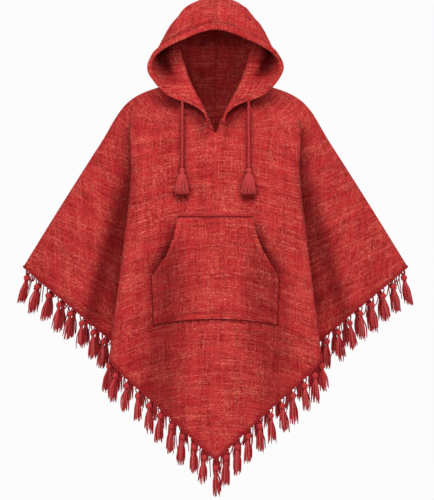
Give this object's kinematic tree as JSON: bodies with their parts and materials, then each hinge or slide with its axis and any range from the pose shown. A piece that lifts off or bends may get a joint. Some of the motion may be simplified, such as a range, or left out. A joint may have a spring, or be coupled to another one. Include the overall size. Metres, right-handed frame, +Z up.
{
  "type": "hooded poncho",
  "caption": "Pull-on woven poncho with a pointed hem, open hood with drawcords, kangaroo pocket and a knotted tassel fringe",
  "frame": {"origin": "Midway between the two sides of the neck, 30 mm below the neck seam there, at the height where the shoulders carry the garment", "axes": "+Z up along the garment, front towards -Y, +X to the right as seen from the front"},
  "size_m": [0.9475, 0.3351, 1.1795],
  "materials": {
    "cloth": "heavy slub weave, slightly brushed",
    "fringe_yarn": "plied yarn",
    "cord": "twisted cord"
  },
  "bodies": {
    "root": {"front_panel": "cloth", "back_panel": "cloth", "hood_left": "cloth", "hood_right": "cloth", "pocket": "cloth", "drawcord_left": "cord", "drawcord_right": "cord", "cord_tassel_left": "cord", "cord_tassel_right": "cord", "fringe_front_wing_left": "fringe_yarn", "fringe_front_point": "fringe_yarn", "fringe_front_wing_right": "fringe_yarn", "fringe_back_wing_left": "fringe_yarn", "fringe_back_point": "fringe_yarn", "fringe_back_wing_right": "fringe_yarn"}
  },
  "joints": []
}
